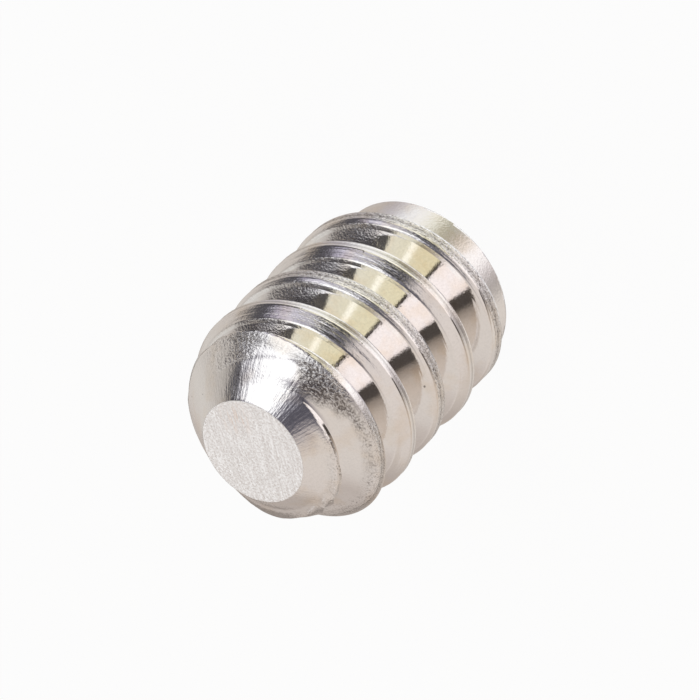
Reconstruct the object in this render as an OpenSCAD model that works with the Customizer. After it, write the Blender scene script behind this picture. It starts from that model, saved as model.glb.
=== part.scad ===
// Headless set screw with a coarse rolled right-hand thread, a coned flat
// point and a countersunk hexagon socket.
//
// Frame: the screw stands on its socket end. The origin is the centre of the
// socket end face, +Z runs along the axis towards the point.

/* [Screw] */
// Length over all, from the socket end to the flat point
screw_length = 14; // [12:0.5:40]
// Major diameter, over the thread crests
major_d = 10; // [9:0.1:14]

/* [Thread] */
// Axial distance from one crest to the next
pitch = 2.5; // [2.3:0.1:3.5]
// Depth of the groove below the crests
thread_depth = 1.5; // [1:0.05:1.65]
// Axial width of the flat on top of the crest
crest_width = 0.45; // [0.2:0.05:0.7]
// Angle between each flank and a plane square to the axis
flank_angle = 30; // [20:1:32]
// Height of the middle of the crest above the socket end where the thread stops
thread_end_height = 0.55; // [0.2:0.05:1.2]
// Direction from the axis in which the thread stops
thread_end_azimuth = 50; // [0:5:355]
// Turning angle over which the crest sinks into the collar
runout_angle = 90; // [40:5:180]

/* [Collar] */
// Height that the rolled crests rise above the plain blank
crest_rise = 0.75; // [0.4:0.05:0.95]
// Height of the plain collar that the thread runs out into
collar_height = 2.05; // [1.6:0.05:3]
// Bevel on the outer edge of the socket end
end_bevel = 0.15; // [0.05:0.05:0.3]

/* [Point] */
// Diameter of the flat point
point_d = 5; // [3:0.1:6]
// Axial length of the cone between the flat point and the full thread
point_cone_length = 2.2; // [1:0.1:4]

/* [Socket] */
// Width of the hexagon socket across its flats
socket_flats = 4; // [3:0.1:4.2]
// Depth of the full hexagon below the end face
socket_depth = 5; // [3:0.1:8]
// Diameter of the countersunk mouth of the socket
countersink_d = 5.4; // [5:0.1:6]
// Full angle of the countersunk mouth
countersink_angle = 90; // [60:5:120]
// Full angle of the drill cone under the socket
drill_angle = 118; // [90:1:140]

/* [Hidden] */

// Sections of the ridge in one turn, and the fineness of the true rounds
turn_steps = 48;
round_fn = 96;
// How far one shape runs past another that it is joined to or cut with
pass = 0.3;

major_r = major_d / 2;
root_r = major_r - thread_depth;
blank_r = major_r - crest_rise;
point_r = point_d / 2;

// Half of the ridge's axial width at a radius
function half_width(r) = crest_width / 2 + (major_r - r) * tan(flank_angle);
// The ridge is rooted in the core by as much as leaves its turns clear of
// each other, and stands proud of the crest, to which it is turned down
groove_flat = pitch - 2 * half_width(root_r);
ridge_foot_r = root_r - groove_flat / 4 / tan(flank_angle);
ridge_top_r = major_r + crest_width / 4 / tan(flank_angle);
// Where the thread stops, the top of the ridge lies this far inside the collar
buried_r = blank_r - pass / 3;

// Height of the middle of the ridge at an angle turned from where it stops
function ridge_z(turned) = thread_end_height + pitch * turned / 360;
// The angle at which the ridge has passed the point
turned_out = 360 * (screw_length - thread_end_height + pitch) / pitch;

// A point of the ridge, at a radius, a turned angle and a height
function at(r, turned, z) =
    [r * cos(thread_end_azimuth + turned), r * sin(thread_end_azimuth + turned), z];

// Section of the ridge: a trapezoid, as tall as the run-out lets it be
function ridge_section(turned) =
    let (
        risen = min(1, turned / runout_angle),
        top_r = buried_r + (ridge_top_r - buried_r) * risen,
        z = ridge_z(turned)
    )
    [
        at(ridge_foot_r, turned, z - half_width(ridge_foot_r)),
        at(top_r, turned, z - half_width(top_r)),
        at(top_r, turned, z + half_width(top_r)),
        at(ridge_foot_r, turned, z + half_width(ridge_foot_r))
    ];

// Joins equal closed loops of points into one solid, loop after loop
module swept(loops) {
    n = len(loops[0]);
    last = (len(loops) - 1) * n;
    polyhedron(
        points = [for (loop = loops) each loop],
        faces = [
            for (k = [1 : n - 2]) [0, k + 1, k],
            for (k = [1 : n - 2]) [last, last + k, last + k + 1],
            for (j = [0 : len(loops) - 2], k = [0 : n - 1])
                let (a = j * n + k, b = j * n + (k + 1) % n)
                    each [[a, b, b + n], [a, b + n, a + n]]
        ]
    );
}

module thread_ridge() {
    step = 360 / turn_steps;
    swept([for (turned = [0 : step : turned_out]) ridge_section(turned)]);
}

// Core of the thread with the plain collar at its foot
module core() {
    cylinder(r = root_r, h = screw_length + pass, $fn = round_fn);
    cylinder(r = blank_r, h = collar_height, $fn = round_fn);
}

// Turned outline of the whole screw: bevelled foot, crests, cone and point
module turned_outline() {
    bevel_reach = major_r - blank_r + end_bevel;
    rotate_extrude($fn = round_fn)
        polygon([
            [0, 0],
            [blank_r - end_bevel, 0],
            [major_r, bevel_reach],
            [major_r, screw_length - point_cone_length],
            [point_r, screw_length],
            [0, screw_length]
        ]);
}

// Hexagon with a countersunk mouth and a drill cone at its bottom
module socket() {
    corner_r = socket_flats / 2 / cos(30);
    sink_depth = countersink_d / 2 / tan(countersink_angle / 2);
    drill_depth = socket_flats / 2 / tan(drill_angle / 2);
    translate([0, 0, -pass])
        cylinder(r = corner_r, h = socket_depth + pass, $fn = 6);
    translate([0, 0, socket_depth])
        cylinder(r1 = socket_flats / 2, r2 = 0, h = drill_depth, $fn = round_fn);
    cylinder(r1 = countersink_d / 2, r2 = 0, h = sink_depth, $fn = round_fn);
}

module screw_body() {
    color("silver")
        difference() {
            intersection() {
                union() {
                    core();
                    thread_ridge();
                }
                turned_outline();
            }
            socket();
        }
}

screw_body();
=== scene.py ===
import math
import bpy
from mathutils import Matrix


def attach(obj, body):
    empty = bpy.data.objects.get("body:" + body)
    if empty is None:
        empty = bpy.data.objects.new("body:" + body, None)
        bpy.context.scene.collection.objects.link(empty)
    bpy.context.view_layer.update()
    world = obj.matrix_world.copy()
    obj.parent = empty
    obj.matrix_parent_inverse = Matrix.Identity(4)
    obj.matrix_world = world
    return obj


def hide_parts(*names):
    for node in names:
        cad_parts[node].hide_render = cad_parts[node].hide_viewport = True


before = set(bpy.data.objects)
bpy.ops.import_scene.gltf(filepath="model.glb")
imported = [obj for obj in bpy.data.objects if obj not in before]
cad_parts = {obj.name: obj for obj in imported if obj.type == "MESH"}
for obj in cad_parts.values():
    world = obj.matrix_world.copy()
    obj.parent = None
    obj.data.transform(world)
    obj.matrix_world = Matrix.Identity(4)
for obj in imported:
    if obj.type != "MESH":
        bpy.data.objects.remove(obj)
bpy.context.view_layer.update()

from types import SimpleNamespace

import bpy
import numpy as np
from mathutils import Matrix, Vector, noise

MM = 0.001

# Sizes of the screw in millimetres, as in the part's source
LENGTH = 14.0
MAJOR_R = 5.0
ROOT_R = 3.5
BLANK_R = 4.25
POINT_R = 2.5
CONE_LENGTH = 2.2
PITCH = 2.5
FLANK_DEG = 30.0
CREST_WIDTH = 0.45
THREAD_END_HEIGHT = 0.55
THREAD_END_AZIMUTH = 50.0
COLLAR_HEIGHT = 2.05
SOCKET_FLATS = 4.0
SOCKET_DEPTH = 5.0
COUNTERSINK_R = 2.7
DRILL_HALF_DEG = 59.0
GROOVE_DEPTH = MAJOR_R - ROOT_R
CONE_SLOPE = (MAJOR_R - POINT_R) / CONE_LENGTH

# The collar's slightly crushed edge, and how far the other sharp edges are taken back
END_BEVEL = 0.08
SOFT_EDGE = 0.02


def linear(hex_colour):
    """An sRGB hex colour as linear RGBA."""
    parts = [int(hex_colour[i:i + 2], 16) / 255 for i in (1, 3, 5)]
    return tuple(p / 12.92 if p <= 0.04045 else ((p + 0.055) / 1.055) ** 2.4 for p in parts) + (1.0,)


def ease(x, start, end):
    """Smooth step from 0 at start to 1 at end."""
    t = np.clip((x - start) / (end - start), 0, 1)
    return t * t * (3 - 2 * t)


def stepped(x, steps, base=0.0):
    """Adds smooth steps to base, each given as its rise, its start and its end."""
    for rise, start, end in steps:
        base = base + rise * ease(x, start, end)
    return base


# ---------------------------------------------------------------- thread skin

# The five parts of the thread's section, from one crest's rear edge to the next one's
CREST, SHOULDER, FLANK, ROOT, BACK = range(5)
# Where the mesh has rows in each of them, as shares of its width
SECTION_ROWS = (
    (0.0, 0.06, 0.16, 0.3, 0.5, 0.7, 0.84, 0.94),
    (0.0, 0.06, 0.45, 0.86, 0.97),
    (0.0, 0.03, 0.1, 0.4, 0.7, 0.9),
    (0.0, 0.15, 0.38, 0.62, 0.85),
    (0.0, 0.12, 0.26, 0.4, 0.54, 0.68, 0.8, 0.9, 0.96, 0.985),
)
ROWS_PER_TURN = sum(len(rows) for rows in SECTION_ROWS)
# Columns of the mesh round the screw, its turns, and how many of them start below the thread's end
COLUMNS = 432
TURNS = 9
TURNS_BELOW = 2

# Angles along the thread are in degrees. "Turned" counts from the thread's end on the collar, and
# "along" counts the other way, from where the groove starts on the cone.
GROOVE_START = 2026.0
# The turned angle at which the crest passes the camera's side of the point for the first time
FRONT_TURN = 1660.0

# The rolled ridge takes turns between a narrow crest with a wide sloping shoulder and a wide crest with
# a narrow one. Each size has a middle value and a swing, in millimetres, and the flank in degrees.
CREST_MIDDLE = 0.48
CREST_SWING = 0.12
SHOULDER_MIDDLE = 0.38
SHOULDER_SWING = 0.22
DROP_MIDDLE = 0.26
DROP_SWING = 0.14
FRONT_FLANK_MIDDLE = 28.0
FRONT_FLANK_SWING = 2.0
# The wide shoulders swing less near the collar: by this share there, and by all of it further on
COLLAR_SWING = 0.45
SWING_GAIN = ((0.55, 760, 1120),)

# The seam between a crest's two rolled lips: its depth, where its side lies between the crest's middle
# at 0 and its edge at 1, and how far the crest rounds off at the edge
SEAM_DEPTH = 0.025
SEAM_SIDE = (0.3, 0.75)
CREST_ROUNDING = 0.05
CREST_ROUND_FROM = 0.8

# The stretch of the first crest that the lip presses smooth, and the one where the groove starts
# further back, by how many millimetres
BURNISHED = ((1.0, 270, 310), (-1.0, 385, 415))
GROOVE_SHIFT = ((0.22, -60, 20), (-0.22, 100, 220))

# How far round the last crest takes to sink into the collar
RUNOUT_DEG = 200.0
# How deep below a surface a form that rises out of it starts
BURIED = 0.1
# Where the collar gives way to the first groove, from its full size to none
COLLAR_EDGE = (COLLAR_HEIGHT - 0.3, COLLAR_HEIGHT + 0.25)

# The second crest stands proud on one side: by how much, where along the thread and over what spread
PROUD_RISE = 0.13
PROUD_ALONG = 816.0
PROUD_SPREAD = 45.0
# Only what is this near to the major radius is raised
PROUD_BAND = 0.1
# The first crest is rolled off by this slope, from its rear edge over this width
ROLLED_OFF_SLOPE = ((0.55, 440, 475), (-0.55, 560, 600))
ROLLED_OFF_WIDTH = 0.7

# How much flatter than a cone the point is on its far side, per millimetre behind the flat
CONE_PRESSED = 0.1
# The lip of metal that rolling pushed up beside the groove on the cone
LIP_HEIGHT = ((0.32, 10, 60), (0.26, 80, 125), (-0.58, 138, 188), (0.35, 282, 315), (0.2, 315, 360))
# How far from the groove the lip reaches where it starts and on the near side, in millimetres, and
# between which degrees it goes from the one to the other
LIP_NARROW = (0.3, 0.95)
LIP_WIDE = (0.1, 2.4)
LIP_WIDENS = (230, 290)
# What lies this far ahead of the crest's rear edge counts as further from the groove, by this factor
UPHILL_FROM = 0.6
UPHILL = 2.0
# Over what difference in radius one finish gives way to the next
FINISH_EDGE = (-0.02, 0.05)


def thread_rows():
    """Which part of the section each row of the mesh is in, and how far through it."""
    part = [index for index, rows in enumerate(SECTION_ROWS) for _ in rows]
    share = [share for rows in SECTION_ROWS for share in rows]
    return np.tile(part, TURNS)[:, None], np.tile(share, TURNS)[:, None]


def turn_wave(turned):
    """Goes from 1 in the middle of a turn with a wide crest to -1 in one with a narrow crest."""
    return np.cos(np.radians(FRONT_TURN - turned) / 2)


def section(turned):
    """Part and share of each row, its height above the crest's rear edge, and its radius."""
    part, share = thread_rows()
    wave = turn_wave(turned)
    wave = np.where(wave < 0, wave * stepped(turned, SWING_GAIN, COLLAR_SWING), wave)
    crest = CREST_MIDDLE + CREST_SWING * wave
    shoulder = SHOULDER_MIDDLE - SHOULDER_SWING * wave
    drop = DROP_MIDDLE - DROP_SWING * wave
    front_deg = FRONT_FLANK_MIDDLE - FRONT_FLANK_SWING * wave
    flank = (GROOVE_DEPTH - drop) * np.tan(np.radians(front_deg))
    back = np.full_like(turned, GROOVE_DEPTH * math.tan(math.radians(FLANK_DEG)))
    root = PITCH - crest - shoulder - flank - back
    starts = np.cumsum([np.zeros_like(turned), crest, shoulder, flank, root], axis=0)
    x = np.choose(part, starts) + share * np.choose(part, [crest, shoulder, flank, root, back])
    low = MAJOR_R - drop
    radius = np.choose(part, [
        crest_top(turned, share),
        MAJOR_R - drop * share,
        low + (ROOT_R - low) * share,
        np.full_like(turned, ROOT_R),
        ROOT_R + GROOVE_DEPTH * share,
    ])
    return part, share, x, radius


def crest_top(turned, share):
    """Radius across the crest: two rolled lips with a shallow seam between them."""
    off_middle = np.abs(2 * share - 1)
    seam = SEAM_DEPTH * (1 - ease(off_middle, *SEAM_SIDE)) * (1 - burnished_share(turned))
    return MAJOR_R - seam - CREST_ROUNDING * ease(off_middle, CREST_ROUND_FROM, 1.0)


def burnished_share(turned):
    """1 where the first crest is pressed smooth by the lip, 0 on the rest of the thread."""
    return stepped(GROOVE_START - turned, BURNISHED)


def soften(values):
    """Rounds the corners of the section by averaging each row with its neighbours."""
    out = values.copy()
    out[1:-1] = 0.25 * values[:-2] + 0.5 * values[1:-1] + 0.25 * values[2:]
    return out


def skin_grid():
    """The whole turned and rolled skin, row by row and column by column."""
    turn = np.repeat(np.arange(TURNS) - TURNS_BELOW, ROWS_PER_TURN)[:, None]
    turned = 360.0 * turn + 360.0 / COLUMNS * np.arange(COLUMNS + 1)
    part, share, x, radius = section(turned)
    along = GROOVE_START - turned
    top_width = np.where(part <= SHOULDER, x, 0).reshape(TURNS, ROWS_PER_TURN, -1).max(1)
    over_top = np.clip(x / np.repeat(top_width, ROWS_PER_TURN, axis=0), 0, 1)
    shift = stepped(along, GROOVE_SHIFT) * (1 - over_top) + stepped(along - 360, GROOVE_SHIFT) * over_top
    crest_rear = THREAD_END_HEIGHT - CREST_WIDTH / 2 + PITCH * turned / 360
    return SimpleNamespace(
        turned=turned,
        along=along,
        along_ridge=along - 360 * (x > PITCH / 2),
        part=part,
        share=share,
        x=x,
        z=soften(crest_rear + x - shift),
        radius=soften(radius),
    )


def rolled_radius(skin):
    """The thread's radius with its run-out into the collar and its uneven first crests."""
    sunk = BLANK_R - BURIED
    runout = np.minimum(skin.radius, sunk + (MAJOR_R - sunk) * np.clip(skin.turned / RUNOUT_DEG, 0, 1))
    proud = PROUD_RISE * np.exp(-((skin.along - PROUD_ALONG) / PROUD_SPREAD) ** 2)
    proud = proud * (skin.radius > MAJOR_R - PROUD_BAND)
    rolled_off = stepped(skin.along, ROLLED_OFF_SLOPE) * np.clip(skin.x, 0, ROLLED_OFF_WIDTH)
    return np.where(skin.turned < RUNOUT_DEG, runout, skin.radius + proud - rolled_off)


def cone_radius(skin):
    """The cone of the point, which is pressed a little flatter on its far side."""
    behind = LENGTH - skin.z
    far_side = np.clip(-np.cos(np.radians(FRONT_TURN - skin.turned)), 0, 1)
    return POINT_R + CONE_SLOPE * behind - CONE_PRESSED * behind * far_side


def lip_rise(skin):
    """How far the lip stands above the cone, by the way along the groove and from it."""
    narrow = 1 - ease(skin.from_groove, *LIP_NARROW)
    wide = np.interp(skin.from_groove, LIP_WIDE, (1, 0))
    widened = narrow + (wide - narrow) * ease(skin.along_ridge, *LIP_WIDENS)
    return stepped(skin.along_ridge, LIP_HEIGHT) * widened


def shape_ends(skin):
    """Runs the thread out into the collar, raises the rolled lip and cuts the thread with the cone."""
    rolled = rolled_radius(skin)
    sunk = ROOT_R - BURIED
    blank = sunk + (BLANK_R - sunk) * (1 - ease(skin.z, *COLLAR_EDGE))
    thread = np.maximum(rolled, blank)
    cone = cone_radius(skin)
    uphill = UPHILL * np.clip(skin.x - UPHILL_FROM, 0, 1) * (skin.x <= PITCH / 2)
    skin.from_groove = thread - cone + uphill
    cone = cone + lip_rise(skin)
    skin.radius = np.minimum(thread, cone)
    skin.on_cone = ease(thread - cone, *FINISH_EDGE)
    skin.on_collar = ease(blank - rolled, *FINISH_EDGE)


# --------------------------------------------------------------- finish masks

# What the mesh tells the steel at each vertex. The last two say how far across the thread it is.
# The grain masks of the first ridge and of the flanks and roots also carry painted dark reflections
MASKS = (
    "cone", "collar", "crest", "torn", "seam", "shoulder", "lip_grain", "ridge_grain_and_painted_reflection", "groove_grain_and_painted_reflection",
    "across_a", "across_b",
)

# The crest's own finish fades at its two edges, and the seam is dark over this share of its width
CREST_FADES = ((1.0, 0.0, 0.1), (-1.0, 0.85, 1.0))
SEAM_SPREAD = 0.14
# Past its smooth stretch the first crest is ragged: how strongly and where along the thread, and over
# what distance ahead of its rear edge this ends
RAGGED = ((0.75, 380, 405), (-0.75, 470, 520))
RAGGED_EDGE = (0.7, 1.0)
# The shoulders' streaks are heavy on one side of the screw, by its turn from the front, and light on
# the other. They run on a little way down the flank.
HEAVY_TURN = 50.0
HEAVY_EDGE = (0.3, 0.9)
LIGHT_STREAKS = 0.25
STREAKED_FLANK = 0.05

# The lip's torn grain: where it is along the groove, and how far from the groove it reaches
LIP_GRAIN = ((1.0, 20, 60), (-1.0, 165, 200), (0.8, 270, 295), (-0.8, 318, 332), (1.0, 338, 362))
LIP_GRAIN_REACH = ((-0.105, 200, 270), (0.9, 270, 290), (-0.9, 312, 330), (0.35, 338, 358))
LIP_GRAIN_REACH_AT_START = 0.905
LIP_GRAIN_FADE = 0.3

# Torn grain round the first crest, painted dark there as a dark reflection: where it is along the thread,
# how deep it reaches below the major radius and over what it fades there, how it gathers below the crest,
# and where it stops short of the next ridge
RIDGE_PATCH = ((0.55, 262, 290), (-0.55, 326, 345), (1.0, 334, 356), (-0.6, 388, 408), (-0.4, 415, 445))
RIDGE_PATCH_DEPTH = ((0.75, 345, 360), (-0.85, 366, 402))
RIDGE_PATCH_DEPTH_AT_START = 0.55
RIDGE_PATCH_DEPTH_EDGE = (-0.2, 0.05)
RIDGE_PATCH_GATHERS = ((0.75, 0.08, 0.4),)
RIDGE_PATCH_AT_CREST = 0.25
RIDGE_PATCH_STOPS = (1.3, 1.45)

# Painted dark reflections on each flank and root, with a little grain, by the angle from the camera's side:
# where they start at the root and at the crest, how sharply, and where they end
PAINTED_PATCH_FROM_ROOT = -88.0
PAINTED_PATCH_FROM_CREST = -66.0
PAINTED_PATCH_SHARPNESS = 4.0
PAINTED_PATCH_END = (-44, -36)


def crest_masks(skin, on_thread):
    """The crest's plated finish, its seam, and its torn metal, which is heavier on wide crests."""
    rough = 1 - burnished_share(skin.turned)
    crest = (skin.part == CREST) * stepped(skin.share, CREST_FADES) * on_thread
    seam = crest * np.exp(-((skin.share - 0.5) / SEAM_SPREAD) ** 2) * rough
    torn = crest * (0.5 + 0.5 * turn_wave(skin.turned)) * rough
    ragged = stepped(skin.along, RAGGED) * (1 - ease(skin.x, *RAGGED_EDGE)) * (1 - skin.on_cone)
    return {"crest": crest, "seam": seam, "torn": np.maximum(torn, ragged)}


def streaked_shoulder(skin):
    """The sloping shoulder, which is heavily streaked on one side of the screw."""
    sloping = (skin.part == SHOULDER) | ((skin.part == FLANK) & (skin.share < STREAKED_FLANK))
    toward_heavy = np.cos(np.radians(skin.turned - FRONT_TURN - HEAVY_TURN))
    return sloping * (LIGHT_STREAKS + (1 - LIGHT_STREAKS) * ease(toward_heavy, *HEAVY_EDGE))


def grained_lip(skin):
    """Torn grain on the lip and on the cone beside it."""
    reach = stepped(skin.along_ridge, LIP_GRAIN_REACH, LIP_GRAIN_REACH_AT_START)
    within = 1 - ease(skin.from_groove, reach - LIP_GRAIN_FADE, reach)
    return skin.on_cone * stepped(skin.along_ridge, LIP_GRAIN) * within


def first_ridge_grain_and_painted_reflection(skin):
    """Torn grain on the slopes of the first crest and on the lip's side, with a painted dark reflection
    over it.
    """
    depth = MAJOR_R - skin.radius
    reach = stepped(skin.along_ridge, RIDGE_PATCH_DEPTH, RIDGE_PATCH_DEPTH_AT_START)
    grain_and_painted_dark = stepped(skin.along_ridge, RIDGE_PATCH) * (1 - ease(skin.x, *RIDGE_PATCH_STOPS))
    grain_and_painted_dark = grain_and_painted_dark * (1 - ease(depth - reach, *RIDGE_PATCH_DEPTH_EDGE))
    grain_and_painted_dark = grain_and_painted_dark * stepped(depth, RIDGE_PATCH_GATHERS, RIDGE_PATCH_AT_CREST)
    return grain_and_painted_dark * np.maximum(skin.part > CREST, skin.on_cone)


def painted_reflection_patches(skin):
    """Painted dark reflections, with a little grain, on the flank and root of each turn, on one side of the
    screw.
    """
    side = np.mod(FRONT_TURN - skin.turned + 180, 360) - 180
    height = np.clip((skin.radius - ROOT_R) / GROOVE_DEPTH, 0, 1)
    start = PAINTED_PATCH_FROM_ROOT + (PAINTED_PATCH_FROM_CREST - PAINTED_PATCH_FROM_ROOT) * height
    started = ease(side, start - PAINTED_PATCH_SHARPNESS, start + PAINTED_PATCH_SHARPNESS)
    patch = started * (1 - ease(side, *PAINTED_PATCH_END))
    return patch * ((skin.part == FLANK) | (skin.part == ROOT))


def finish_masks(skin):
    """How strongly each finish shows at each vertex."""
    on_thread = (1 - skin.on_cone) * (1 - skin.on_collar)
    across = 2 * math.pi * skin.x / PITCH
    return crest_masks(skin, on_thread) | {
        "cone": skin.on_cone,
        "collar": skin.on_collar,
        "shoulder": streaked_shoulder(skin) * on_thread,
        "lip_grain": grained_lip(skin),
        # These two masks carry painted dark reflections as well as their grain
        "ridge_grain_and_painted_reflection": first_ridge_grain_and_painted_reflection(skin),
        "groove_grain_and_painted_reflection": painted_reflection_patches(skin) * on_thread,
        "across_a": np.cos(across),
        "across_b": np.sin(across),
    }


# ----------------------------------------------------------------- screw mesh

SLOT_STEEL, SLOT_POINT, SLOT_SOCKET = range(3)

# The rings that the skin ends in, and how near to one a vertex is taken up by it
FOOT_Z = END_BEVEL
TOP_Z = LENGTH - SOFT_EDGE
TAKEN_UP = 0.004
# Finish masks of the rings that close the two ends
FOOT_MASKS = {"collar": 1.0, "across_a": 1.0}
TOP_MASKS = {"cone": 1.0, "across_a": 1.0}

# How far the softened edge of the flat lies outside and below it, and the rings that fill the flat
POINT_EDGE = (0.012, 0.004)
POINT_RINGS = np.linspace(0.94, 0.06, 12)
# The ring that rounds the collar's edge, as shares of its bevel inwards and upwards
BEVEL_RING = (0.75, 0.4)
# Rings in the middle of the end face and down the hexagon's walls, and those of the drill cone as
# shares of its height
FACE_RING_R = 3.6
WALL_RING_Z = 2.8
DRILL_RINGS = (0.55, 0.95)

# How far rolled edges wander, in millimetres. It comes in waves of two sizes, each given as its share
# and as waves per millimetre, and a rise is counted from a little above the waves' middle.
WANDER = {"crest": 0.006, "torn": 0.004, "lip_grain": 0.02}
WANDER_WAVES = ((0.6, 5.0), (0.4, 13.0))
WANDER_MIDDLE = 0.25
WANDER_LEAST = 0.001


class Mesh:
    """Vertices with their finish masks, and faces with their material slots."""

    def __init__(self):
        self.points = []
        self.masks = {name: [] for name in MASKS}
        self.faces = []
        self.slots = []

    def add_points(self, points, masks):
        """Adds vertices and gives back their numbers. A mask that isn't given is 0."""
        first = sum(len(earlier) for earlier in self.points)
        self.points.append(points)
        for name, values in self.masks.items():
            values.append(np.broadcast_to(masks.get(name, 0.0), len(points)))
        return first + np.arange(len(points))

    def add_faces(self, quads, slot):
        """Adds faces that all have the material of one slot."""
        self.faces.append(quads)
        self.slots.append(np.full(len(quads), slot))


def round_points(azimuth, radius, z):
    """Points at a radius and a height, which may differ from one azimuth to the next."""
    return np.stack(np.broadcast_arrays(radius * np.cos(azimuth), radius * np.sin(azimuth), z), -1)


def band(lower, upper):
    """Quads between two rings of vertex numbers."""
    return np.stack([lower, np.roll(lower, -1), np.roll(upper, -1), upper], 1)


def add_skin(mesh, skin):
    """The sheared grid of the thread, clamped to a ring at either end.

    Gives back the azimuths of its columns and the vertex numbers of the two rings."""
    azimuth = np.radians(THREAD_END_AZIMUTH + skin.turned)
    below = skin.z <= FOOT_Z + TAKEN_UP
    above = skin.z >= TOP_Z - TAKEN_UP
    inside = ~(below | above)
    inside[:, -1] = False
    points = round_points(azimuth[inside], skin.radius[inside], skin.z[inside])
    masks = {name: values[inside] for name, values in finish_masks(skin).items()}
    index = np.full(skin.z.shape, -1)
    index[inside] = mesh.add_points(points, masks)
    foot = mesh.add_points(round_points(azimuth[0, :-1], BLANK_R, FOOT_Z), FOOT_MASKS)
    top_r = POINT_R + CONE_SLOPE * (LENGTH - TOP_Z)
    top = mesh.add_points(round_points(azimuth[0, :-1], top_r, TOP_Z), TOP_MASKS)
    body = np.where(below[:, :-1], foot, np.where(above[:, :-1], top, index[:, :-1]))
    mesh.add_faces(grid_faces(body, top[0]), SLOT_STEEL)
    return azimuth[0, :-1], foot, top


def grid_faces(body, top):
    """Quads of the grid, in which each row goes on a turn further up where it has gone round once."""
    going_on = np.concatenate([body[ROWS_PER_TURN:, 0], np.full(ROWS_PER_TURN, top)])
    body = np.column_stack([body, going_on])
    corners = [body[:-1, :-1], body[:-1, 1:], body[1:, 1:], body[1:, :-1]]
    return np.stack(corners, -1).reshape(-1, 4)


def add_point(mesh, azimuth, ring):
    """The softened edge and the ground flat of the point, in rings towards its centre."""
    outside, beneath = POINT_EDGE
    rings = [(POINT_R + outside, LENGTH - beneath), (POINT_R - SOFT_EDGE, LENGTH)]
    rings += [(POINT_R * share, LENGTH) for share in POINT_RINGS]
    for radius, z in rings:
        inner = mesh.add_points(round_points(azimuth, radius, z), TOP_MASKS)
        mesh.add_faces(band(ring, inner), SLOT_POINT)
        ring = inner
    centre = mesh.add_points(np.array([[0, 0, LENGTH]]), TOP_MASKS)
    mesh.add_faces(band(ring, np.repeat(centre, len(ring))), SLOT_POINT)


def hexagon_r(azimuth):
    """Radius of the hexagon's wall in each direction."""
    off_middle = np.mod(np.degrees(azimuth), 60.0) - 30.0
    return SOCKET_FLATS / 2 / np.cos(np.radians(off_middle))


def foot_rings(hexagon, drill_top):
    """Radius, height and slot of each ring from the collar's edge to the tip of the drill cone."""
    inwards, upwards = BEVEL_RING
    rings = [
        (BLANK_R - END_BEVEL * inwards, END_BEVEL * upwards, SLOT_STEEL),
        (BLANK_R - END_BEVEL - 2 * SOFT_EDGE, 0.0, SLOT_STEEL),
        (FACE_RING_R, 0.0, SLOT_SOCKET),
        (COUNTERSINK_R + SOFT_EDGE, 0.0, SLOT_SOCKET),
        (COUNTERSINK_R - SOFT_EDGE, SOFT_EDGE, SLOT_SOCKET),
        (hexagon + SOFT_EDGE, COUNTERSINK_R - hexagon - SOFT_EDGE, SLOT_SOCKET),
        (hexagon, COUNTERSINK_R - hexagon + SOFT_EDGE, SLOT_SOCKET),
        (hexagon, WALL_RING_Z, SLOT_SOCKET),
        (hexagon, SOCKET_DEPTH - SOFT_EDGE, SLOT_SOCKET),
        (SOCKET_FLATS / 2 - SOFT_EDGE / 2, SOCKET_DEPTH, SLOT_SOCKET),
    ]
    for share in DRILL_RINGS:
        z = SOCKET_DEPTH + share * (drill_top - SOCKET_DEPTH)
        rings.append((SOCKET_FLATS / 2 * (1 - share), z, SLOT_SOCKET))
    return rings


def add_foot(mesh, azimuth, ring):
    """The bevelled foot, the end face, the countersunk mouth and the hexagon with its drill cone."""
    drill_top = SOCKET_DEPTH + SOCKET_FLATS / 2 / math.tan(math.radians(DRILL_HALF_DEG))
    for radius, z, slot in foot_rings(hexagon_r(azimuth), drill_top):
        inner = mesh.add_points(round_points(azimuth, radius, z), FOOT_MASKS)
        mesh.add_faces(band(inner, ring), slot)
        ring = inner
    centre = mesh.add_points(np.array([[0, 0, drill_top]]), FOOT_MASKS)
    mesh.add_faces(band(np.repeat(centre, len(ring)), ring), SLOT_SOCKET)


def roughen(points, masks):
    """Lets the rolled crests and the lip wander a little, as a rolled edge does."""
    amount = sum(height * masks[name] for name, height in WANDER.items())
    for i in np.nonzero(amount > WANDER_LEAST)[0]:
        place = Vector(points[i])
        rise = sum(share * noise.noise(place * waves) for share, waves in WANDER_WAVES)
        radial = Vector((place.x, place.y, 0)).normalized()
        points[i] += np.array(radial) * amount[i] * (rise - WANDER_MIDDLE)


def clean_faces(quads, slots):
    """Quads with their doubled corners taken out, without those that have no area."""
    faces = []
    kept = []
    for quad, slot in zip(quads.tolist(), slots.tolist()):
        corners = list(dict.fromkeys(quad))
        if len(corners) > 2:
            faces.append(corners)
            kept.append(slot)
    return faces, kept


def make_screw(materials):
    """The whole screw as one closed mesh."""
    skin = skin_grid()
    shape_ends(skin)
    mesh = Mesh()
    azimuth, foot, top = add_skin(mesh, skin)
    add_point(mesh, azimuth, top)
    add_foot(mesh, azimuth, foot)
    points = np.concatenate(mesh.points)
    masks = {name: np.concatenate(values) for name, values in mesh.masks.items()}
    roughen(points, masks)
    faces, slots = clean_faces(np.concatenate(mesh.faces), np.concatenate(mesh.slots))
    data = bpy.data.meshes.new("set_screw")
    data.from_pydata((points * MM).tolist(), [], faces)
    for material in materials:
        data.materials.append(material)
    data.polygons.foreach_set("material_index", slots)
    data.shade_smooth()
    for name, values in masks.items():
        data.attributes.new(name, "FLOAT", "POINT").data.foreach_set("value", values.astype(np.float32))
    data.update()
    data.validate()
    screw = bpy.data.objects.new("set_screw", data)
    bpy.context.scene.collection.objects.link(screw)
    return screw


# ------------------------------------------------------------------ materials

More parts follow.
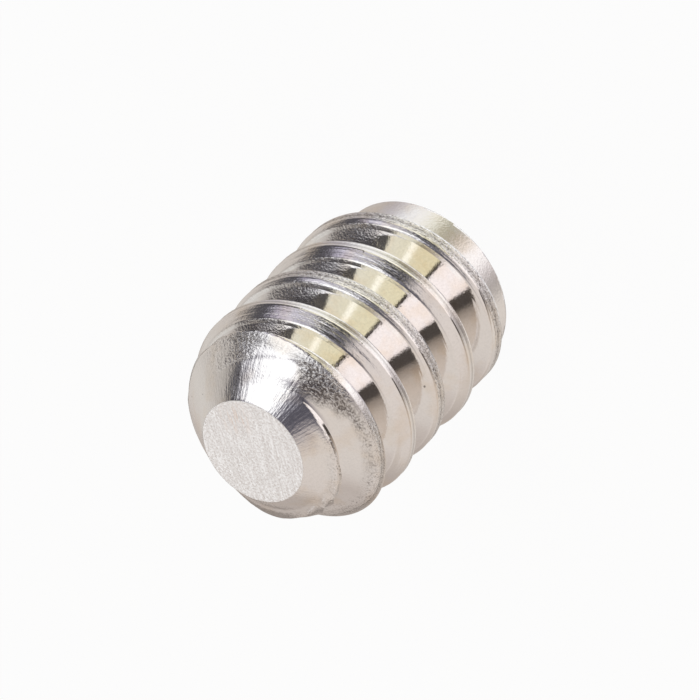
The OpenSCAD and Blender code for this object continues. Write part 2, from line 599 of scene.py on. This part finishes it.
# Numbers of a Mix node's sockets, which share their names: its factor, its two values, its two colours,
# and the colour that it gives
FACTOR = 0
VALUE_A, VALUE_B = 2, 3
COLOUR_A, COLOUR_B = 6, 7
MIXED_COLOUR = 2


def add(tree, kind, inputs=None, output=0, **settings):
    """Adds a node with its settings, values and links. Gives back one of its outputs, if it has any."""
    node = tree.nodes.new(kind)
    for name, value in settings.items():
        setattr(node, name, value)
    for name, value in (inputs or {}).items():
        if isinstance(value, bpy.types.NodeSocket):
            tree.links.new(value, node.inputs[name])
        else:
            node.inputs[name].default_value = value
    return node.outputs[output] if node.outputs else node


def new_material(name):
    """An empty material and its node tree."""
    material = bpy.data.materials.new(name)
    material.use_nodes = True
    material.node_tree.nodes.clear()
    return material, material.node_tree


def place_mm(tree):
    """The place on the screw in millimetres."""
    place = add(tree, "ShaderNodeTexCoord", output="Object")
    return add(tree, "ShaderNodeVectorMath", {0: place, "Scale": 1 / MM}, operation="SCALE")


def summed(tree, terms, total=0.0):
    """Adds each value times its own strength to a total."""
    for value, strength in terms:
        total = add(tree, "ShaderNodeMath", {0: value, 1: strength, 2: total}, operation="MULTIPLY_ADD")
    return total


# The plating's own grain is a few hundredths of a millimetre, too fine to show, and is drawn this wide
PLATED_GRAIN = 0.1
# Sizes of the unevenness that rolling left, of the broad stains and of the rare pits, in millimetres
UNEVENNESS = 0.3
STAIN = 1.3
PIT = 0.3
# Height of the steel's bumps where their strength is 1, in millimetres
BUMP_HEIGHT = 0.012

# How rough the steel is where the dies burnished it, and in each other finish
BURNISHED_ROUGHNESS = 0.06
ROUGHNESS = {
    "crest": 0.14,
    "shoulder": 0.14,
    "torn": 0.12,
    "collar": 0.24,
    "cone": 0.13,
    "ridge_grain_and_painted_reflection": 0.16,
    "groove_grain_and_painted_reflection": 0.1,
}
# Strength of the bumps: the plated grain, which is everywhere a little, and the scales of torn metal
PLATED_BUMPS = {"crest": 0.8, "torn": 1.6, "cone": 0.45, "lip_grain": 0.8, "collar": 0.9, "groove_grain_and_painted_reflection": 0.8}
PLATED_BUMPS_ANYWHERE = 0.12
TORN_BUMPS = {"torn": 2.6, "lip_grain": 2.4, "ridge_grain_and_painted_reflection": 2.0, "shoulder": 0.8, "groove_grain_and_painted_reflection": 0.8}
# Strength of the rolling streaks on the burnished steel and on the shoulders, and of the cone's own
STREAK_BUMPS = 0.15
SHOULDER_STREAK_BUMPS = 2.2
CONE_STREAK_BUMPS = 0.9
# Strength of the unevenness off the cone and on it
UNEVEN_BUMPS = 0.05
CONE_UNEVEN_BUMPS = 0.3
# How dark the seam and the painted dark reflections on the flanks and roots are, and the share of dark
# specks that the lip has
SEAM_DARKENING = 0.4
PAINTED_REFLECTION_DARKENING = 0.4
LIP_SPECKS = 0.45

# How fast the rolling streaks change across the thread, along x and y, and along z, before the scale of
# their noise. They come out 0.12 mm apart and about 2 mm long.
STREAKS_ACROSS = 2.0
STREAKS_ROUND = 0.35
STREAKS_UP = 0.25
STREAK_SCALE = 1.6
# Torn scales per millimetre along the thread
TORN_SCALES = 9.0
# The cone's streaks are this far apart at this radius, and change this often per millimetre upwards
CONE_STREAK = 0.15
CONE_STREAK_R = 3.8
CONE_STREAK_CHANGES = 2.0


def rolling_streaks(tree, place, masks):
    """Fine lines that run along the groove, 0.12 mm apart, as the rolling dies leave them. They are
    drawn coarser than the real ones, which are too fine to show."""
    x, y, z = add(tree, "ShaderNodeSeparateXYZ", {0: place}).node.outputs
    up = add(tree, "ShaderNodeMath", {0: z, 1: STREAKS_UP}, operation="MULTIPLY")
    wide_a = add(tree, "ShaderNodeMath", {0: masks["across_a"], 1: STREAKS_ACROSS}, operation="MULTIPLY")
    wide_b = add(tree, "ShaderNodeMath", {0: masks["across_b"], 1: STREAKS_ACROSS}, operation="MULTIPLY")
    slow_x = add(tree, "ShaderNodeMath", {0: x, 1: STREAKS_ROUND, 2: up}, operation="MULTIPLY_ADD")
    slow_y = add(tree, "ShaderNodeMath", {0: y, 1: STREAKS_ROUND}, operation="MULTIPLY")
    vector = add(tree, "ShaderNodeCombineXYZ", {0: slow_x, 1: slow_y, 2: wide_a})
    inputs = {"Vector": vector, "W": wide_b, "Scale": STREAK_SCALE, "Detail": 3.0}
    return add(tree, "ShaderNodeTexNoise", inputs, noise_dimensions="4D")


def torn_grain(tree, place, masks):
    """Little scales of torn metal, 0.05 mm wide and 0.11 mm long, that lie along the groove. The real
    ones are partly finer, and are drawn as coarse as they need to be to show."""
    x, y, _ = add(tree, "ShaderNodeSeparateXYZ", {0: place}).node.outputs
    vector = add(tree, "ShaderNodeCombineXYZ", {0: x, 1: y, 2: masks["across_a"]})
    inputs = {"Vector": vector, "W": masks["across_b"], "Scale": TORN_SCALES, "Detail": 2.0}
    return add(tree, "ShaderNodeTexNoise", inputs, noise_dimensions="4D")


def cone_streaks(tree, place):
    """Fine lines that run straight up the cone, 0.15 mm apart, as the header die leaves them."""
    flat = add(tree, "ShaderNodeVectorMath", {0: place, 1: (1, 1, 0)}, operation="MULTIPLY")
    outward = add(tree, "ShaderNodeVectorMath", {0: flat}, operation="NORMALIZE")
    per_radian = CONE_STREAK_R / CONE_STREAK
    across = add(tree, "ShaderNodeVectorMath", {0: outward, "Scale": per_radian}, operation="SCALE")
    up = add(tree, "ShaderNodeVectorMath", {0: place, 1: (0, 0, CONE_STREAK_CHANGES)}, operation="MULTIPLY")
    both = add(tree, "ShaderNodeVectorMath", {0: across, 1: up}, operation="ADD")
    return add(tree, "ShaderNodeTexNoise", {"Vector": both, "Scale": 1.0, "Detail": 2.0})


def steel_roughness(tree, masks):
    """Near-mirror where the dies burnished the steel, satin in its other finishes."""
    roughness = BURNISHED_ROUGHNESS
    for name, value in ROUGHNESS.items():
        inputs = {FACTOR: masks[name], VALUE_A: roughness, VALUE_B: value}
        roughness = add(tree, "ShaderNodeMix", inputs, data_type="FLOAT")
    return roughness


def steel_relief(tree, place, masks, plated, uneven, torn):
    """Bumps of the plated grain, the torn scales, the streaks and the unevenness."""
    plated_strength = summed(tree, [(masks[name], share) for name, share in PLATED_BUMPS.items()],
                             PLATED_BUMPS_ANYWHERE)
    torn_strength = summed(tree, [(masks[name], share) for name, share in TORN_BUMPS.items()])
    inputs = {FACTOR: masks["shoulder"], VALUE_A: STREAK_BUMPS, VALUE_B: SHOULDER_STREAK_BUMPS}
    streak_strength = add(tree, "ShaderNodeMix", inputs, data_type="FLOAT")
    inputs = {FACTOR: masks["cone"], VALUE_A: streak_strength, VALUE_B: 0.0}
    streak_strength = add(tree, "ShaderNodeMix", inputs, data_type="FLOAT")
    inputs = {FACTOR: masks["cone"], VALUE_A: 0.0, VALUE_B: CONE_STREAK_BUMPS}
    cone_strength = add(tree, "ShaderNodeMix", inputs, data_type="FLOAT")
    inputs = {FACTOR: masks["cone"], VALUE_A: UNEVEN_BUMPS, VALUE_B: CONE_UNEVEN_BUMPS}
    uneven_strength = add(tree, "ShaderNodeMix", inputs, data_type="FLOAT")
    height = summed(tree, (
        (plated, plated_strength),
        (torn, torn_strength),
        (rolling_streaks(tree, place, masks), streak_strength),
        (cone_streaks(tree, place), cone_strength),
        (uneven, uneven_strength),
    ))
    return add(tree, "ShaderNodeBump", {"Strength": 1.0, "Distance": BUMP_HEIGHT * MM, "Height": height})


def steel_darkening(tree, masks, plated, uneven, torn):
    """How dark the steel is with specks between torn scales, the seam, a faint cloudiness, and the painted
    dark reflections on the flanks and round the first crest.
    """
    lip_share = add(tree, "ShaderNodeMath", {0: masks["lip_grain"], 1: LIP_SPECKS}, operation="MULTIPLY")
    torn_share = add(tree, "ShaderNodeMath", {0: masks["torn"], 1: lip_share}, operation="MAXIMUM")
    specks = add(tree, "ShaderNodeMapRange", {"Value": torn, "From Min": 0.5, "From Max": 0.34})
    torn_specks = add(tree, "ShaderNodeMath", {0: specks, 1: torn_share}, operation="MULTIPLY")
    patches = add(tree, "ShaderNodeMapRange",
                  {"Value": uneven, "From Min": 0.35, "From Max": 0.65, "To Min": 1.2, "To Max": 0.3})
    clouded = add(tree, "ShaderNodeMapRange",
                  {"Value": plated, "From Min": 0.4, "From Max": 0.7, "To Max": 0.06})
    # The dark over the first ridge's torn grain is a painted dark reflection
    grain_and_painted_dark = add(tree, "ShaderNodeMapRange",
               {"Value": torn, "From Min": 0.6, "From Max": 0.42, "To Min": 0.25, "To Max": 0.95})
    return summed(tree, (
        (torn_specks, patches),
        (masks["seam"], SEAM_DARKENING),
        (clouded, 1.0),
        # The patches on the flanks and roots are painted dark reflections
        (masks["groove_grain_and_painted_reflection"], PAINTED_REFLECTION_DARKENING),
        (masks["ridge_grain_and_painted_reflection"], grain_and_painted_dark),
    ))


def steel_colour(tree, place, darkening):
    """White metal with faint warm stains, its darker finishes and painted dark reflections, and a few pits.
    """
    stains = add(tree, "ShaderNodeTexNoise", {"Vector": place, "Scale": 1 / STAIN, "Detail": 3.0})
    stained = add(tree, "ShaderNodeMapRange",
                  {"Value": stains, "From Min": 0.5, "From Max": 0.72, "To Max": 0.6})
    pits = add(tree, "ShaderNodeTexNoise", {"Vector": place, "Scale": 1 / PIT, "Detail": 1.0})
    pitted = add(tree, "ShaderNodeMapRange",
                 {"Value": pits, "From Min": 0.79, "From Max": 0.83, "To Max": 0.7})
    colour = linear("#F8F7F7")
    for share, shade in ((stained, "#F1E6D8"), (darkening, "#78726F"), (pitted, "#5C5450")):
        inputs = {FACTOR: share, COLOUR_A: colour, COLOUR_B: linear(shade)}
        colour = add(tree, "ShaderNodeMix", inputs, output=MIXED_COLOUR, data_type="RGBA")
    return colour


def rolled_plated_steel():
    """Bright plated steel, burnished by the rolling dies: a near mirror in the grooves, torn and
    sparkling on the crests, granular satin on the cone, and a plain satin collar."""
    material, tree = new_material("rolled_plated_steel")
    place = place_mm(tree)
    masks = {name: add(tree, "ShaderNodeAttribute", output="Fac", attribute_name=name) for name in MASKS}
    plated = add(tree, "ShaderNodeTexNoise", {"Vector": place, "Scale": 1 / PLATED_GRAIN, "Detail": 3.0})
    uneven = add(tree, "ShaderNodeTexNoise", {"Vector": place, "Scale": 1 / UNEVENNESS, "Detail": 2.0})
    torn = torn_grain(tree, place, masks)
    darkening = steel_darkening(tree, masks, plated, uneven, torn)
    shader = add(tree, "ShaderNodeBsdfPrincipled", {
        "Base Color": steel_colour(tree, place, darkening),
        "Metallic": 1.0,
        "Roughness": steel_roughness(tree, masks),
        "Normal": steel_relief(tree, place, masks, plated, uneven, torn),
    })
    add(tree, "ShaderNodeOutputMaterial", {"Surface": shader})
    return material


# The grinding lines' direction and size on the flat: 0.09 mm wide and 0.9 mm long. The real ones are
# finer, and are drawn as coarse as they need to be to show.
GRINDING_TURN_DEG = 53.0
GRINDING_STRETCH = (0.12, 1.2, 1.0)
GRINDING_SCALE = 1.4
# Share of the fine mottle, 0.1 mm across, in the marks on the flat
MOTTLE_SHARE = 0.65
MOTTLE_GRAIN = 0.1
# Where the brown smear lies on the flat of the point, and its outer and inner radius, in millimetres
SMEAR_PLACE = (1.55, -0.68, LENGTH)
SMEAR_OUTSIDE = 1.05
SMEAR_INSIDE = 0.15


def grinding_lines(tree, place):
    """Fine parallel lines across the flat."""
    inputs = {
        "Vector": place,
        "Rotation": (0, 0, math.radians(GRINDING_TURN_DEG)),
        "Scale": GRINDING_STRETCH,
    }
    stretched = add(tree, "ShaderNodeMapping", inputs, vector_type="TEXTURE")
    return add(tree, "ShaderNodeTexNoise", {"Vector": stretched, "Scale": GRINDING_SCALE, "Detail": 4.0})


def brown_smear(tree, place, lines):
    """How strongly the smear shows: most in its middle and between the lines."""
    distance = add(tree, "ShaderNodeVectorMath", {0: place, 1: SMEAR_PLACE}, output="Value",
                   operation="DISTANCE")
    smear = add(tree, "ShaderNodeMapRange",
                {"Value": distance, "From Min": SMEAR_OUTSIDE, "From Max": SMEAR_INSIDE})
    between_lines = add(tree, "ShaderNodeMapRange", {"Value": lines, "From Min": 0.45, "From Max": 0.65})
    return add(tree, "ShaderNodeMath", {0: smear, 1: between_lines}, operation="MULTIPLY")


def ground_point():
    """Ground steel: matte and pale, with fine parallel grinding lines and one faint brown smear."""
    material, tree = new_material("ground_point")
    place = place_mm(tree)
    lines = grinding_lines(tree, place)
    mottle = add(tree, "ShaderNodeTexNoise", {"Vector": place, "Scale": 1 / MOTTLE_GRAIN, "Detail": 3.0})
    inputs = {FACTOR: MOTTLE_SHARE, VALUE_A: lines, VALUE_B: mottle}
    lines_and_mottle = add(tree, "ShaderNodeMix", inputs, data_type="FLOAT")
    marks = add(tree, "ShaderNodeMapRange", {"Value": lines_and_mottle, "From Min": 0.34, "From Max": 0.56})
    normal = add(tree, "ShaderNodeBump", {"Strength": 1.0, "Distance": BUMP_HEIGHT * MM, "Height": marks})
    colour = linear("#E8E4E2")
    for share, shade in ((marks, "#FFFFFF"), (brown_smear(tree, place, lines), "#EADACF")):
        inputs = {FACTOR: share, COLOUR_A: colour, COLOUR_B: linear(shade)}
        colour = add(tree, "ShaderNodeMix", inputs, output=MIXED_COLOUR, data_type="RGBA")
    inputs = {"Base Color": colour, "Metallic": 1.0, "Roughness": 0.42, "Normal": normal}
    shader = add(tree, "ShaderNodeBsdfPrincipled", inputs)
    add(tree, "ShaderNodeOutputMaterial", {"Surface": shader})
    return material


# Grain of the broached steel and the height of its bumps, in millimetres. It is drawn as coarse as it
# needs to show.
BROACHED_GRAIN = 0.15
BROACHED_BUMP_HEIGHT = 0.006


def broached_socket():
    """Plain machined and broached steel: satin, with a fine grain."""
    material, tree = new_material("broached_socket")
    grain = add(tree, "ShaderNodeTexNoise", {"Vector": place_mm(tree), "Scale": 1 / BROACHED_GRAIN})
    inputs = {"Strength": 1.0, "Distance": BROACHED_BUMP_HEIGHT * MM, "Height": grain}
    normal = add(tree, "ShaderNodeBump", inputs)
    inputs = {"Base Color": linear("#D8D5D0"), "Metallic": 1.0, "Roughness": 0.38, "Normal": normal}
    shader = add(tree, "ShaderNodeBsdfPrincipled", inputs)
    add(tree, "ShaderNodeOutputMaterial", {"Surface": shader})
    return material


# --------------------------------------------------------------------- studio

# Rings of the light tent, from the top down, as (heading in degrees from the camera's side, colour)
OVERHEAD = (
    (-180, "#CFC8C2"), (-120, "#C9C1BC"), (-104, "#A49E9A"), (-40, "#8E8886"), (-12, "#56545A"),
    (30, "#4E4C50"), (44, "#A8A4AC"), (84, "#A8A4AC"), (97, "#48464A"), (112, "#48464A"),
    (126, "#C4BCB4"), (180, "#CFC8C2"),
)
UPPER = (
    (-180, "#F8F7F7"), (-168, "#EEECEC"), (-146, "#BEB6B0"), (-125, "#C8C0B9"), (-80, "#C9C0B8"),
    (-58, "#BAB1AC"), (-40, "#A09896"), (-27, "#66636A"), (-8, "#48464E"), (0, "#504E56"),
    (9, "#66646C"), (19, "#8A8890"), (27, "#BCBAC0"), (34, "#FFFFFF"), (82, "#FFFFFF"),
    (92, "#C4C2C8"), (101, "#5E5C60"), (105, "#48464A"), (117, "#48464A"), (121, "#B0A8A2"),
    (132, "#C2BFBA"), (180, "#F8F7F7"),
)
MIDDLE = (
    (-180, "#B8B0AA"), (-146, "#B0A69F"), (-126, "#C6BDB6"), (-60, "#CDC4BD"), (-3, "#CFC6C2"),
    (3, "#9A9492"), (9, "#3A3838"), (36, "#38363A"), (43, "#B0ACB4"), (52, "#96929C"), (62, "#C8C4CE"),
    (74, "#B4AEBE"), (80, "#8A8690"), (84, "#48464A"), (107, "#4C4A4C"), (116, "#A09A94"), (128, "#B4AEA8"),
    (150, "#C4C0BB"), (180, "#B8B0AA"),
)
LOW = (
    (-180, "#A89E97"), (-141, "#A89E97"), (-112, "#C0B6AD"), (-90, "#BFB2A6"), (-74, "#B2A599"),
    (-60, "#877C72"), (-55.5, "#57504A"), (-54.5, "#46403C"), (-40, "#46403C"), (-39.2, "#EDE3DF"),
    (-32, "#F6EDEA"), (-2, "#F6EDEA"), (-1.5, "#2E2824"), (1.5, "#2E2824"), (2, "#DED5B4"),
    (27, "#DDD6BA"), (31.5, "#FFFBEA"), (34, "#FFFBEA"), (38, "#DCD6BE"), (57.5, "#DDD8C6"),
    (58.5, "#4A4846"), (76, "#5E5C60"), (78, "#464448"), (95, "#464448"), (104, "#A8A098"),
    (114, "#BDB5AE"), (150, "#C4BFB9"), (166, "#BEB7B1"), (180, "#A89E97"),
)
BELOW = (
    (-180, "#B0A8A2"), (-83, "#D2CAC2"), (-60, "#928B87"), (-41, "#C6BDBC"), (-24, "#FFFBF9"),
    (-5, "#EDE6E3"), (10, "#AEA69C"), (28, "#908A74"), (44, "#E4E1D2"), (62, "#EAE7E4"),
    (78, "#E8E8E8"), (94, "#B4AEB2"), (108, "#A8A2A4"), (124, "#B8B0A8"), (180, "#B0A8A2"),
)
UNDER = (
    (-180, "#FFFFFF"), (-96, "#F4F2F2"), (-72, "#A8A0A2"), (-50, "#A8A0A6"), (-22, "#CCC4C8"),
    (-2, "#FFFFFF"), (180, "#FFFFFF"),
)
# Each ring under the top one, with the degrees from straight up between which it takes over
RINGS = ((UPPER, 15, 20), (MIDDLE, 56, 64), (LOW, 80, 93), (BELOW, 115, 121), (UNDER, 146, 156))
TENT_STRENGTH = 1.2

# The table's half width in metres, its paint, and the share of what the camera sees of it that glows
TABLE_HALF = 0.6
TABLE_PAINT = (0.95, 0.95, 0.95, 1)
TABLE_GLOW = 0.94
WHITE = (1, 1, 1, 1)


def studio_ramp(tree, heading, stops):
    """Colours of one ring of the studio, by heading from the camera's side, from -180 to 180 degrees."""
    ramp = add(tree, "ShaderNodeValToRGB", {0: heading})
    elements = ramp.node.color_ramp.elements
    while len(elements) > 1:
        elements.remove(elements[0])
    elements[0].position = (stops[0][0] + 180) / 360
    elements[0].color = linear(stops[0][1])
    for degrees, colour in stops[1:]:
        element = elements.new((degrees + 180) / 360)
        element.color = linear(colour)
    return ramp


def tent_colour(tree):
    """The tent's colour in each direction, from its rings."""
    direction = add(tree, "ShaderNodeTexCoord", output="Generated")
    side, front, up = add(tree, "ShaderNodeSeparateXYZ", {0: direction}).node.outputs
    toward = add(tree, "ShaderNodeMath", {0: front, 1: -1.0}, operation="MULTIPLY")
    turn = add(tree, "ShaderNodeMath", {0: side, 1: toward}, operation="ARCTAN2")
    heading = add(tree, "ShaderNodeMath", {0: turn, 1: 1 / (2 * math.pi), 2: 0.5}, operation="MULTIPLY_ADD")
    down = add(tree, "ShaderNodeMath", {0: up}, operation="ARCCOSINE")
    colour = studio_ramp(tree, heading, OVERHEAD)
    for stops, start, end in RINGS:
        inputs = {"Value": down, "From Min": math.radians(start), "From Max": math.radians(end)}
        share = add(tree, "ShaderNodeMapRange", inputs, interpolation_type="SMOOTHSTEP")
        inputs = {FACTOR: share, COLOUR_A: colour, COLOUR_B: studio_ramp(tree, heading, stops)}
        colour = add(tree, "ShaderNodeMix", inputs, output=MIXED_COLOUR, data_type="RGBA")
    return colour


def make_studio():
    """A pale light tent with dark flags, a warm card and a lamp tube, round the screw. The camera sees
    plain white instead."""
    world = bpy.data.worlds.new("light_tent")
    world.use_nodes = True
    bpy.context.scene.world = world
    tree = world.node_tree
    tree.nodes.clear()
    camera_ray = add(tree, "ShaderNodeLightPath", output="Is Camera Ray")
    inputs = {FACTOR: camera_ray, COLOUR_A: tent_colour(tree), COLOUR_B: WHITE}
    colour = add(tree, "ShaderNodeMix", inputs, output=MIXED_COLOUR, data_type="RGBA")
    inputs = {FACTOR: camera_ray, VALUE_A: TENT_STRENGTH, VALUE_B: 1.0}
    strength = add(tree, "ShaderNodeMix", inputs, data_type="FLOAT")
    background = add(tree, "ShaderNodeBackground", {"Color": colour, "Strength": strength})
    add(tree, "ShaderNodeOutputWorld", {"Surface": background})


def white_table():
    """White paint. It takes the screw's soft shadow, and the metal sees the light tent past it."""
    material, tree = new_material("white_table")
    rays = add(tree, "ShaderNodeLightPath").node.outputs
    paint = add(tree, "ShaderNodeBsdfDiffuse", {"Color": TABLE_PAINT})
    glow = add(tree, "ShaderNodeEmission", {"Color": WHITE, "Strength": 1.0})
    clear = add(tree, "ShaderNodeBsdfTransparent", {"Color": WHITE})
    share = add(tree, "ShaderNodeMath", {0: rays["Is Camera Ray"], 1: TABLE_GLOW}, operation="MULTIPLY")
    lit = add(tree, "ShaderNodeMixShader", {0: share, 1: paint, 2: glow})
    surface = add(tree, "ShaderNodeMixShader", {0: rays["Is Glossy Ray"], 1: lit, 2: clear})
    add(tree, "ShaderNodeOutputMaterial", {"Surface": surface})
    return material


def make_floor():
    """The table top that the screw stands on."""
    half = TABLE_HALF
    corners = [(-half, -half, 0), (half, -half, 0), (half, half, 0), (-half, half, 0)]
    data = bpy.data.meshes.new("table_top")
    data.from_pydata(corners, [], [(0, 1, 2, 3)])
    data.materials.append(white_table())
    floor = bpy.data.objects.new("table_top", data)
    bpy.context.scene.collection.objects.link(floor)


# --------------------------------------------------------------------- camera

# How the screw's axis is tilted from the line of sight and leans in the picture
AXIS_TILT_DEG = 46.7
AXIS_LEAN_DEG = -44.33
CAMERA_DISTANCE_MM = 333.3
# The picture's width, its scale at the point, and where the middle of the point's flat is in it
PIXELS = 700
PIXELS_PER_MM = 23.643
POINT_PIXEL = (252.7, 451.8)
SENSOR_MM = 36.0
# The nearest that the camera sees, in metres
CLIP_START = 0.01


def make_camera():
    """A long lens that looks down on the point, with the screw leaning across the picture."""
    tilt = math.radians(AXIS_TILT_DEG)
    lean = math.radians(AXIS_LEAN_DEG)
    to_foot = Vector((math.sin(tilt) * math.cos(lean), math.sin(tilt) * math.sin(lean), math.cos(tilt)))
    across = Vector((-math.sin(lean), math.cos(lean), 0))
    to_picture = Matrix((-across, to_foot.cross(across), -to_foot)).transposed()
    right, down, away = (to_picture[i] for i in range(3))
    aside, below = ((pixel - PIXELS / 2) / PIXELS_PER_MM for pixel in POINT_PIXEL)
    point = Vector((0, 0, LENGTH))
    place = point - right * aside - down * below - away * CAMERA_DISTANCE_MM
    data = bpy.data.cameras.new("camera")
    data.sensor_width = SENSOR_MM
    data.lens = SENSOR_MM * PIXELS_PER_MM * CAMERA_DISTANCE_MM / PIXELS
    data.clip_start = CLIP_START
    camera = bpy.data.objects.new("camera", data)
    turn = Matrix((right, -down, -away)).transposed()
    camera.matrix_world = Matrix.Translation(place * MM) @ turn.to_4x4()
    bpy.context.scene.collection.objects.link(camera)
    bpy.context.scene.camera = camera


def main():
    """Builds the studio and the screw, which is one rigid piece."""
    bpy.context.scene.view_settings.view_transform = "Standard"
    make_studio()
    make_floor()
    make_camera()
    screw = make_screw([rolled_plated_steel(), ground_point(), broached_socket()])
    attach(screw, "root")
    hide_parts("screw_body")


main()
